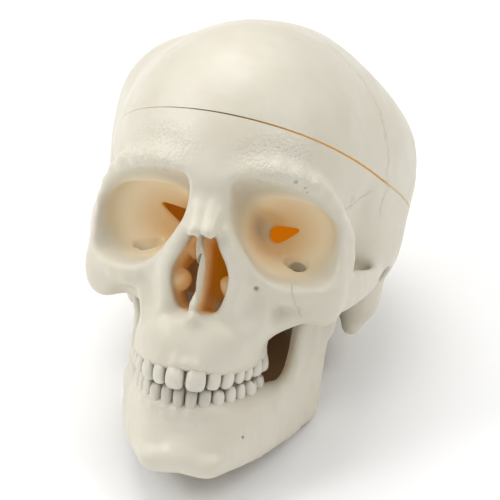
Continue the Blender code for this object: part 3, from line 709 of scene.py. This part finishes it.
def rootRidges(s, arch, down, reach, blend):
    # the low ridges that the front roots raise on the outside of the jaw
    look = rootLook
    way = 1 if down else -1
    for side, teeth in archSides(arch):
        for (kind, width, depth, past), (x, y, facing) in teeth[:look["teeth"]]:
            out = awayFrom(side, facing)
            start = Vector((side * x, y)) + out * (depth / 2 - look["gumInset"])
            end = (Vector((side * x * look["tipNarrowing"], y + look["tipBack"]))
                   + out * (depth / 2 - look["tipInset"]))
            long = reach * (look["canine"] if kind == "canine" else 1.0)
            gum = arch["gum"] + arch["gumRise"] * (y - arch["front"])
            s.rod((*start, gum + way * look["overGum"]), (*end, gum + way * long),
                  width * look["gumWidth"], width * look["tipWidth"], blend)


def gumRim(s, arch, level, outward, radius):
    # the soft rim of bone that the teeth stand in
    for side, teeth in archSides(arch):
        stops = [(0, arch["front"] + outward, level, radius)]
        for tooth, (x, y, facing) in teeth:
            out = awayFrom(side, facing) * -outward
            rise = arch["gumRise"] * (y - arch["front"])
            stops.append((side * x + out.x, y + out.y, level + rise, radius))
        s.chain(stops, 1.0)


# ---- the three solid pieces ----

def craniumForm(shell):
    orbit = orbitForm()
    s = Form("cranium")
    s.surface = s.of(shell)
    s.add(s.of(faceForm(), True), 8)
    s.add(s.of(rightGumForm()), 3)
    s.remove(s.of(brainHollow(shell)), 3)
    s.add(s.of(socketWalls(orbit), True), 6)
    s.add(s.of(baseForm(), True), 5)
    s.remove(s.of(orbit, True), 2.5)
    s.remove(s.of(noseForm(), True), 2.5)
    s.add(s.of(scrollsForm(), True), 2)
    s.remove(s.of(templeForm(), True), 6)
    s.remove(s.of(grooveForm(), True), 1.6)
    s.remove(s.of(openingsForm(), True), 1.2)
    s.remove(s.of(fissuresForm()), 0.8)
    hollow = Form("cheekHollow")
    hollow.ball((27, -89, -19), (9, 7, 10))
    hollow.done()
    s.remove(s.of(hollow, True), 8)
    # the right side of the upper jaw is narrower above the gum
    waist = Form("waist")
    waist.ball((-37.5, -74, -28), (10.5, 17, 10.5))
    waist.done()
    s.remove(s.of(waist), 4)
    roots = Form("upperRoots")
    rootRidges(roots, upperTeeth, True, 13, 1.5)
    gumRim(roots, upperTeeth, upperTeeth["gum"] + 3.2, -0.9, 3.0)
    roots.done()
    s.add(s.of(roots), 2.5)
    s.add(s.of(septumForm()), 1.5)
    s.keep(cutLevel(s), 0.5, sawCut["margin"])
    return s.done()


def skullcapForm(shell):
    s = Form("skullcap")
    s.surface = s.of(shell)
    s.remove(s.of(shell), 0.5, -vault["wall"])
    s.remove(cutLevel(s), 0.5, -sawCut["margin"])
    return s.done()


def jawForm():
    half = Form("jawHalf")
    half.chain([(0, -83.5, -77, 5.8), (10, -82, -77, 5.8), (18, -76, -76, 5.5),
                (26, -64, -73.5, 5.2), (32, -48, -69.5, 4.9), (37, -32, -66, 4.6)],
               2, (1, 1, 0.42), bends=2)
    half.chain([(0, -84, -86.5, 5.5), (10, -83, -87, 5.6), (18, -76, -84.5, 5.2),
                (27, -61, -79, 4.6), (34, -43, -73, 4.1), (38.5, -27, -69.5, 3.9)], 3, bends=2)
    half.chain([(0, -86, -67, 5.2), (9, -84, -67, 5.2), (16, -77.5, -66.5, 5.3),
                (21.5, -66, -65, 5.8), (25.5, -52, -62, 6), (29.5, -40, -59, 5.5)],
               3, (1, 1, 0.8), bends=2)
    half.ball((0, -87, -85), (9, 5, 6), 6)
    half.ball((12, -84, -88), (6, 5, 4.5), 6)
    half.rod((41, -15, -60), (42.5, -13.5, -24), 8.5, 7, 6, (2.2, 1, 1))
    half.rod((35.2, -31, -58), (37.2, -34, -20), 11, 8.5, 6, (2.2, 1, 1))
    half.rod((39.5, -23, -58), (40.5, -23, -28), 8, 7, 6, (2.4, 1, 1))
    half.chain([(36.2, -39, -42, 3.4), (34.8, -42.5, -51, 3.4), (30, -50, -60, 4.5)], 4)
    half.rod((38.2, -37, -24), (40.4, -38.5, -11), 6, 2.2, 5, (1.8, 1, 1))
    half.rod((43.5, -12, -28), (47, -10.5, -12), 5.5, 4, 5, (1.2, 1, 1))
    half.ball((41, -19, -63), (4.4, 12, 9), 5)
    half.ball((47.5, -10.5, -6.5), (10, 4.6, 4.6), 4)
    half.ball((42, -22.5, -10), (12, 6.5, 9.5), 3, cut=True)
    half.done()
    s = Form("jaw")
    s.surface = s.of(half, True)
    s.chain([(-15, -81, -66.5, 5.2), (-20, -73, -65.5, 5.4), (-24.5, -63, -64, 5.8),
             (-27.5, -50, -61.5, 5.8)], 3, (1, 1, 0.8), bends=2)
    rootRidges(s, lowerTeeth, False, 9, 2.5)
    # the small hole on the side of the chin
    s.rod((25.6, -77.6, -74), (23.8, -75.4, -74.5), 0.8, 0.6, 0.5, cut=True)
    return s.done()


skin = {"craniumGrid": 0.8, "capGrid": 1.1, "jawGrid": 0.7, "evenings": 3, "inset": 0.1,
        "unevenness": [(16.0, 0.3), (5.0, 0.12)]}


def trimToFloor(item):
    # keeps the piece above the ground that it rests on
    tilt = math.radians(pose["tilt"])
    upwards = Vector((0, -math.sin(tilt), math.cos(tilt)))
    depth = -pose["place"][2] / millimetre
    sawOff(item, upwards, upwards * depth, False)


shell = vaultForm()
cranium = skinOf("craniumBone", craniumForm(shell), (-76, -108, -50), (76, 96, 66),
                 skin["craniumGrid"])
sawOff(cranium, cutNormal(0.0), (0, 0, sawCut["height"] - sawCut["gap"] / 2), True)
trimToFloor(cranium)
print("cranium:", len(cranium.data.polygons), "faces")
skullcap = skinOf("skullcapBone", skullcapForm(shell), (-76, -106, 12), (76, 96, 122),
                  skin["capGrid"])
sawOff(skullcap, cutNormal(sawCut["widening"]), (0, 0, sawCut["height"] + sawCut["gap"] / 2),
       False)
print("skullcap:", len(skullcap.data.polygons), "faces")
jaw = skinOf("jawBone", jawForm(), (-66, -104, -100), (66, 4, 4), skin["jawGrid"])
trimToFloor(jaw)
print("jaw:", len(jaw.data.polygons), "faces")
upperRow = toothRow("upperTeeth", upperTeeth, True)
lowerRow = toothRow("lowerTeeth", lowerTeeth, False)
print("teeth: planted")


# ---- finishes ----

def opaque(colour):
    return (*colour, 1.0)


class Finish:
    # A material of nodes: any node comes from one call, with its settings set before its sockets.
    def __init__(self, name):
        self.material = bpy.data.materials.new(name)
        self.material.use_nodes = True
        self.tree = self.material.node_tree
        self.shader = self.tree.nodes["Principled BSDF"]
        # the place in the skull's own frame, in millimetres
        here = self.node("ShaderNodeTexCoord", {}, {}, "Object")
        turned = {"Vector": here, "Location": pose["place"], "Scale": (millimetre,) * 3,
                  "Rotation": (-math.radians(pose["tilt"]), 0, 0)}
        self.place = self.node("ShaderNodeMapping", {"vector_type": "TEXTURE"}, turned)

    def node(self, kind, settings, values, output=0):
        node = self.tree.nodes.new(kind)
        for label, value in settings.items():
            setattr(node, label, value)
        for label, value in values.items():
            feed(self.tree, node.inputs[label], value)
        return Signal(self.tree, node.outputs[output])

    def mix(self, factor, one, two):
        # sockets 0, 6 and 7 are the factor and the two colours, and output 2 is the colour
        values = {0: factor, 6: one, 7: two}
        return self.node("ShaderNodeMix", {"data_type": "RGBA"}, values, 2)

    def layers(self, colour, masks, layers):
        # lays tints over a colour, each where its mask is and as strong as its share
        for mask, tint, share in layers:
            factor = masks[mask] if share == 1.0 else masks[mask] * share
            colour = self.mix(factor, colour, opaque(cream[tint]))
        return colour

    def noise(self, size, detail=2.0, roughness=0.5, place=None):
        values = {"Vector": place or self.place, "Scale": 1.0 / size, "Detail": detail,
                  "Roughness": roughness}
        return self.node("ShaderNodeTexNoise", {}, values)

    def fade(self, value, low, high):
        values = {"Value": value, "From Min": low, "From Max": high}
        return self.node("ShaderNodeMapRange", {"interpolation_type": "SMOOTHSTEP"}, values)

    def blob(self, centre, radii, inner, outer=1.0, mirrored=False):
        # 1 inside an egg-shaped space, fading to 0 at its edge
        place = self.place
        if mirrored:
            x, y, z = place.parts()
            place = together(self.tree, x.math("ABSOLUTE"), y, z)
        reach = place.vector("SUBTRACT", centre).vector("DIVIDE", radii).vector("LENGTH")
        return self.fade(reach, outer, inner)

    def openness(self, reach):
        # 1 on open surfaces, and less where others stand near
        return self.node("ShaderNodeAmbientOcclusion", {"samples": 6}, {"Distance": reach}, 1)

    def paint(self, colour, roughness, bump=None):
        feed(self.tree, self.shader.inputs["Base Color"], colour)
        feed(self.tree, self.shader.inputs["Roughness"], roughness)
        if bump is not None:
            height, strength, distance = bump
            values = {"Height": height, "Strength": strength, "Distance": distance}
            raised = self.node("ShaderNodeBump", {}, values)
            feed(self.tree, self.shader.inputs["Normal"], raised)
        return self.material


# the plastic's colours: bright, dull and rosy are its own tones, grey marks the seams and is
# painted shade elsewhere, and pale marks the raised ticks; tan, deepTan, amber, inside, gold, olive
# and shade are painted light and shade, and the colours named glow are painted light
cream = {
    "bright": (0.70, 0.66, 0.55), "dull": (0.65, 0.605, 0.485), "rosy": (0.675, 0.605, 0.50),
    "grey": (0.46, 0.42, 0.36), "tan": (0.74, 0.655, 0.50), "deepTan": (0.66, 0.48, 0.28),
    "amber": (0.52, 0.27, 0.06), "inside": (0.25, 0.08, 0.006), "shade": (0.20, 0.135, 0.075),
    "olive": (0.10, 0.08, 0.03), "gold": (0.74, 0.56, 0.30), "pale": (0.9, 0.88, 0.8),
    "black": (0.0, 0.0, 0.0), "glow": (0.42, 0.118, 0.0012), "noseGlow": (0.12, 0.04, 0.0),
    "socketGlow": (0.17, 0.14, 0.09), "depthGlow": (0.14, 0.085, 0.035),
    "goldGlow": (0.14, 0.10, 0.045), "closedGlow": (0.17, 0.155, 0.125),
    "gloss": 0.34, "roughest": 0.48, "stippleGloss": 0.12, "shadeReach": 0.022,
}
# tints, among them painted light and shade, and weak painted glows, in the order they are laid on:
# mask, colour in cream, share
tints = [("clouds", "dull", 0.6), ("blush", "rosy", 0.45), ("gum", "grey", 1.0),
         ("branch", "gold", 0.6), ("corner", "shade", 0.36), ("socket", "tan", 1.0),
         ("socketDepth", "deepTan", 1.0), ("noseLightAndShade", "deepTan", 1.0), ("nose", "amber", 1.0),
         ("fissureShade", "grey", 0.75), ("slot", "olive", 0.9), ("hole", "amber", 0.9),
         ("brain", "inside", 1.0), ("golden", "gold", 1.0), ("closed", "bright", 1.0),
         ("pits", "grey", 0.7), ("seams", "grey", 0.1), ("strokes", "pale", 0.5)]
glows = [("socket", "socketGlow", 1.0), ("socketDepth", "depthGlow", 1.0),
         ("noseLightAndShade", "depthGlow", 1.0), ("fissureShade", "black", 1.0), ("nose", "noseGlow", 1.0),
         ("brain", "glow", 1.0), ("golden", "goldGlow", 1.0), ("closed", "closedGlow", 1.0)]
# egg-shaped spaces: centre, radii, where the fade begins and ends, and if on both sides
zones = {
    "gum": ((-2, -88, -66), (22, 14, 7), 0.3),
    "branch": ((31, -36, -42), (6.5, 17, 21), 0.5, 1.0, True),
    "socket": ((30, -60, 15.5), (25, 31, 25.5), 0.6, 1.0, True),
    "socketBack": ((25, -44, 15), (24, 26, 22), 0.25, 1.0, True),
    "nose": ((0, -70, -6), (15.5, 34, 24), 0.8),
    "fissureShade": ((33.8, -50.5, -0.6), (5.4, 7, 3.4), 0.75),
    "slot": ((33.5, -50.5, -2.6), (5, 7, 1.5), 0.6),
    "hole": ((23.8, -84.6, -9.2), (1.4, 2.2, 1.4), 0.5),
    "brain": ((0, 16, 44), (69.5, 71.5, 62.5), 0.985),
    "brainBack": ((0, 46, 26), (49.5, 43, 40), 0.98),
    "ticks": ((66, -17, 47), (8, 12, 4), 0.5),
    "brow": ((26, -84, 46), (30, 26, 17), 0.4, 1.0, True),
    "lowTeethShade": ((-3, -90, -60), (19, 12, 8), 0.5),
}
marks = {
    "pits": [((35.6, -86.9, 38.2), 1.0), ((39.2, -83.6, 36.1), 0.6), ((40.1, -82.1, 34.1), 0.6),
             ((18, -90, 46), 0.5), ((-12, -92, 40), 0.5), ((28, -86, 50), 0.5)],
    "coronal": -22.0, "lambda": (78.0, 80.0), "lambdaSlopes": (0.35, 0.18), "seamWidth": 0.55,
    "wander": [(7.0, 7.0), (2.0, 4.5)], "temple": (0.49, 53.3, 0.35), "cheek": (0.29, 36.5, 0.5),
    "bump": {"grain": (0.9, 0.05), "pits": 1.2, "seams": 0.45, "strokes": 0.6},
}


def seamLines(f, x, y, z):
    # the joints between the vault's bones, as wandering lines on its outside
    large, small = ((f.noise(size, 1.0) - 0.5) * height for size, height in marks["wander"])
    wander = large + small
    across = x.math("ABSOLUTE")
    coronal = y - marks["coronal"]
    (back, top), (aside, upward) = marks["lambda"], marks["lambdaSlopes"]
    lambdoid = y - back + across * aside - (z - top) * upward
    lines = []
    for level, mask in ((coronal, f.fade(z, 22, 28)), (lambdoid, f.fade(z, 5, 12)),
                        (x, f.fade(coronal, 0, 3) * f.fade(lambdoid, 0, -3) * f.fade(z, 60, 70))):
        distance = (level + wander).math("ABSOLUTE")
        lines.append(f.fade(distance, marks["seamWidth"], 0.0) * mask)
    # two shorter ones, on the temple and down the cheek
    slope, height, waves = marks["temple"]
    temple = (z - y * slope - height + wander * waves).math("ABSOLUTE")
    templeMask = f.fade(across, 50, 53) * f.fade(y, -31, -36) * f.fade(y, -56, -50)
    lines.append(f.fade(temple, marks["seamWidth"] * 1.3, 0.0) * templeMask)
    slope, out, waves = marks["cheek"]
    cheek = (x + z * slope - out + wander * waves).math("ABSOLUTE")
    cheekMask = f.fade(y, -60, -68) * f.fade(z, -21, -18) * f.fade(z, -3, -7)
    lines.append(f.fade(cheek, marks["seamWidth"], 0.0) * cheekMask)
    joined = lines[0]
    for line in lines[1:]:
        joined = joined.most(line)
    return joined


def hollowMasks(f, x, y, z):
    # painted light and shade in the hollows: a warm glow inside the jaw's branch, warm light
    # deepening to shade in the eye sockets and the nose, dark shade in and round the slot low in
    # the left socket, and orange light in the small hole below that socket
    masks = {name: f.blob(*zones[name]) for name in ("branch", "socket", "fissureShade", "slot", "hole")}
    masks["socketDepth"] = masks["socket"] * f.blob(*zones["socketBack"])
    nose = f.blob(*zones["nose"])
    depth = y + x.least(0.0) * 0.9 - (z - 4.0).most(0.0) * 1.2
    masks["nose"] = f.fade(depth, -88, -70) * nose
    masks["noseLightAndShade"] = f.fade(y, -94.5, -89) * nose
    return masks


def lightMasks(f, x, y, z):
    # painted light where light would come through the thin plastic: an orange glow on the
    # braincase's inside, on the surfaces that face inwards, and on the sawn faces, golden where the
    # cut is open and bright cream with a weak glow where it is closed
    masks = {}
    middle = zones["brain"][0]
    brain = f.blob(*zones["brain"]).most(f.blob(*zones["brainBack"]))
    normal = f.node("ShaderNodeNewGeometry", {}, {}, "Normal")
    outward = f.node("ShaderNodeVectorRotate", {"rotation_type": "X_AXIS"},
                     {"Vector": f.place.vector("SUBTRACT", middle).vector("NORMALIZE"),
                      "Angle": -math.radians(pose["tilt"])})
    inwards = f.fade(normal.vector("DOT_PRODUCT", outward), 0.1, -0.1)
    masks["brain"] = brain * inwards * f.fade(y, -35, -30) * f.fade(z, -8, -4)
    flat = cutNormal(0.0)
    facing = normal.vector("DOT_PRODUCT", tuple(skullToWorld.to_3x3() @ flat)).math("ABSOLUTE")
    level = f.place.vector("DOT_PRODUCT", tuple(flat)) - flat.z * sawCut["height"]
    sawn = f.fade(facing, 0.85, 0.97) * f.fade(level.math("ABSOLUTE"), 1.0, 0.75)
    masks["golden"] = sawn * f.fade(x, -10, 40)
    masks["closed"] = sawn * f.fade(y, -26, -12).most(f.fade(x, 10, -45) * 0.7)
    masks["seams"] = seamLines(f, x, y, z) * f.fade(facing, 1.5, 0.9)
    return masks


def boneFinish(name):
    f = Finish(name)
    x, y, z = f.place.parts()
    masks = {**hollowMasks(f, x, y, z), **lightMasks(f, x, y, z)}
    masks["clouds"] = f.fade(f.noise(34, 2.0), 0.35, 0.7)
    elsewhere = f.place.vector("ADD", (60, 0, 0))
    masks["blush"] = f.fade(f.noise(22, 2.0, place=elsewhere), 0.45, 0.75)
    mottle = f.fade(f.noise(3.4, 3.0), 0.52, 0.75)
    # grey mottling, strongest on the lower gum, with an even painted shade there, where it sits
    # back under the upper teeth
    masks["gum"] = f.blob(*zones["gum"]) * (mottle * 0.4 + 0.16) + mottle * 0.015
    # painted shade in corners, creases and hollows, darker where other surfaces stand near
    masks["corner"] = f.fade(f.openness(cream["shadeReach"]), 0.62, 0.08)
    # painted shade in the small pits on the brow, which the bump also sinks
    pits = None
    for place, size in marks["pits"]:
        spot = f.blob(place, (size,) * 3, 0.3)
        pits = spot if pits is None else pits.most(spot)
    masks["pits"] = pits
    # short raised ticks low on the cap's left side
    stretched = f.place.vector("MULTIPLY", (1.0, 1.0, 0.22))
    ticks = f.fade(f.noise(1.1, 1.0, place=stretched), 0.6, 0.72)
    masks["strokes"] = ticks * f.blob(*zones["ticks"])
    # fine stipple over the brow and the temples
    brow = f.blob(*zones["brow"])
    bump = marks["bump"]
    browGrain, allGrain = bump["grain"]
    height = (f.noise(1.5, 2.0, 0.6) * (brow * browGrain + allGrain) - pits * bump["pits"]
              - masks["seams"] * bump["seams"] + masks["strokes"] * bump["strokes"])
    rough = (f.fade(f.noise(9, 2.0), 0.3, 0.7) * (cream["roughest"] - cream["gloss"])
             + cream["gloss"] - brow * cream["stippleGloss"])
    f.paint(f.layers(opaque(cream["bright"]), masks, tints), rough, (height, 0.7, 0.001))
    # the painted glows, laid as weak light over black
    feed(f.tree, f.shader.inputs["Emission Color"],
         f.layers(opaque(cream["black"]), masks, glows))
    f.shader.inputs["Emission Strength"].default_value = 1.0
    return f.material


# the enamel's tones, and low, a painted shade for the lower front teeth
enamelLook = {"bright": (0.70, 0.67, 0.575), "dull": (0.63, 0.59, 0.49), "low": (0.42, 0.385, 0.32),
              "dullShare": 0.4, "shadeShare": 0.75, "lowShadeShare": 0.4, "gloss": 0.24,
              "glossSpread": 0.15, "shadeReach": 0.004}


def toothFinish(name):
    look = enamelLook
    f = Finish(name)
    clouds = f.fade(f.noise(3.0, 2.0), 0.4, 0.7)
    colour = f.mix(clouds * look["dullShare"], opaque(look["bright"]), opaque(look["dull"]))
    # painted shade in the gaps between the teeth
    corner = f.fade(f.openness(look["shadeReach"]), 0.8, 0.25)
    colour = f.mix(corner * look["shadeShare"], colour, opaque(cream["shade"]))
    # painted shade on the lower front teeth, which sit back under the upper ones
    low = f.blob(*zones["lowTeethShade"])
    colour = f.mix(low * look["lowShadeShare"], colour, opaque(look["low"]))
    rough = f.noise(2.0, 2.0) * look["glossSpread"] + look["gloss"]
    return f.paint(colour, rough, (f.noise(1.6, 2.0), 0.2, 0.0004))


bone = boneFinish("creamPlastic")
enamel = toothFinish("toothPlastic")
sharpAngle = math.radians(50)
for piece, node, material in ((cranium, "cranium", bone), (skullcap, "skullcap", bone),
                              (jaw, "mandible", bone), (upperRow, "cranium", enamel),
                              (lowerRow, "mandible", enamel)):
    piece.data.materials.clear()
    piece.data.materials.append(material)
    piece.data.shade_smooth()
    piece.data.set_sharp_from_angle(angle=sharpAngle)
    piece.data.transform(skullToWorld)
    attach(piece, "root")
    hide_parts(node)
print("finishes: done")


# ---- floor, light and camera ----

# under: a warm shade painted on the floor beneath the skull, as centre and radii in metres
studio = {
    "floor": (0.985, 0.985, 0.985), "spots": (0.93, 0.93, 0.93), "spotShare": 0.03,
    "spotSize": 200, "floorSize": 4.0, "floorRoughness": 0.9, "shade": (0.2, 0.115, 0.05),
    "under": ((0.004, -0.002, 0), (0.04, 0.052, 1)), "dome": 0.44, "aim": (0, 0, 0.08),
    "lamps": [("backLamp", (-0.35, 0.8, 1.8), 1.4, 16.0),
              ("leftLamp", (-1.35, 0.0, 1.25), 1.2, 8.5),
              ("rightLamp", (1.2, 0.2, 1.45), 1.2, 9.5),
              ("faceLamp", (-0.5, -1.3, 1.1), 1.0, 2.3),
              ("shineLamp", (-1.1, -0.6, 1.15), 0.4, 3.5)],
}
# the camera's place is given round the skull, in its own frame: degrees, millimetres, pixels
view = {"around": 11.62, "over": 3.23, "roll": 7.17, "distance": 1000.0, "pixelsPerMm": 2.21,
        "target": (7.85, -30, 3.69), "pixels": 500, "sensor": 36.0, "nearest": 0.05}


def addFloor():
    work = bmesh.new()
    bmesh.ops.create_grid(work, x_segments=2, y_segments=2, size=studio["floorSize"])
    mesh = bpy.data.meshes.new("studioFloor")
    work.to_mesh(mesh)
    work.free()
    floor = bpy.data.objects.new("studioFloor", mesh)
    scene.collection.objects.link(floor)
    f = Finish("paleFloor")
    spots = f.noise(studio["spotSize"], 2.0) * studio["spotShare"]
    shade = f.mix(spots, opaque(studio["floor"]), opaque(studio["spots"]))
    centre, radii = studio["under"]
    reach = f.node("ShaderNodeTexCoord", {}, {}, "Object").vector("SUBTRACT", centre)
    under = f.fade(reach.vector("DIVIDE", radii).vector("LENGTH"), 1.0, 0.45)
    shade = f.mix(under, shade, opaque(studio["shade"]))
    mesh.materials.append(f.paint(shade, studio["floorRoughness"]))


def addLamp(name, place, size, power):
    light = bpy.data.lights.new(name, "AREA")
    light.shape = "DISK"
    light.size = size
    light.energy = power
    lamp = bpy.data.objects.new(name, light)
    scene.collection.objects.link(lamp)
    lamp.location = place
    way = Vector(studio["aim"]) - Vector(place)
    lamp.rotation_euler = way.to_track_quat("-Z", "Y").to_euler()


def addCamera():
    a, e, r = (math.radians(view[label]) for label in ("around", "over", "roll"))
    back = Vector((math.sin(a) * math.cos(e), -math.cos(a) * math.cos(e), math.sin(e)))
    level = Vector((math.cos(a), math.sin(a), 0))
    upright = back.cross(level)
    right = math.cos(r) * level + math.sin(r) * upright
    up = math.cos(r) * upright - math.sin(r) * level
    place = (Vector(view["target"]) + back * view["distance"]) * millimetre
    camera = bpy.data.objects.new("camera", bpy.data.cameras.new("camera"))
    scene.collection.objects.link(camera)
    turned = Matrix((right, up, back)).transposed().to_4x4()
    camera.matrix_world = skullToWorld @ Matrix.Translation(place) @ turned
    camera.data.sensor_width = view["sensor"]
    camera.data.lens = view["pixelsPerMm"] * view["distance"] / view["pixels"] * view["sensor"]
    camera.data.clip_start = view["nearest"]
    scene.camera = camera


addFloor()
addCamera()
world = bpy.data.worlds.new("studio")
world.use_nodes = True
sky = world.node_tree.nodes["Background"]
sky.inputs["Color"].default_value = (1.0, 1.0, 1.0, 1.0)
sky.inputs["Strength"].default_value = studio["dome"]
scene.world = world
for lamp in studio["lamps"]:
    addLamp(*lamp)
scene.view_settings.view_transform = "Standard"
print("studio: lit")
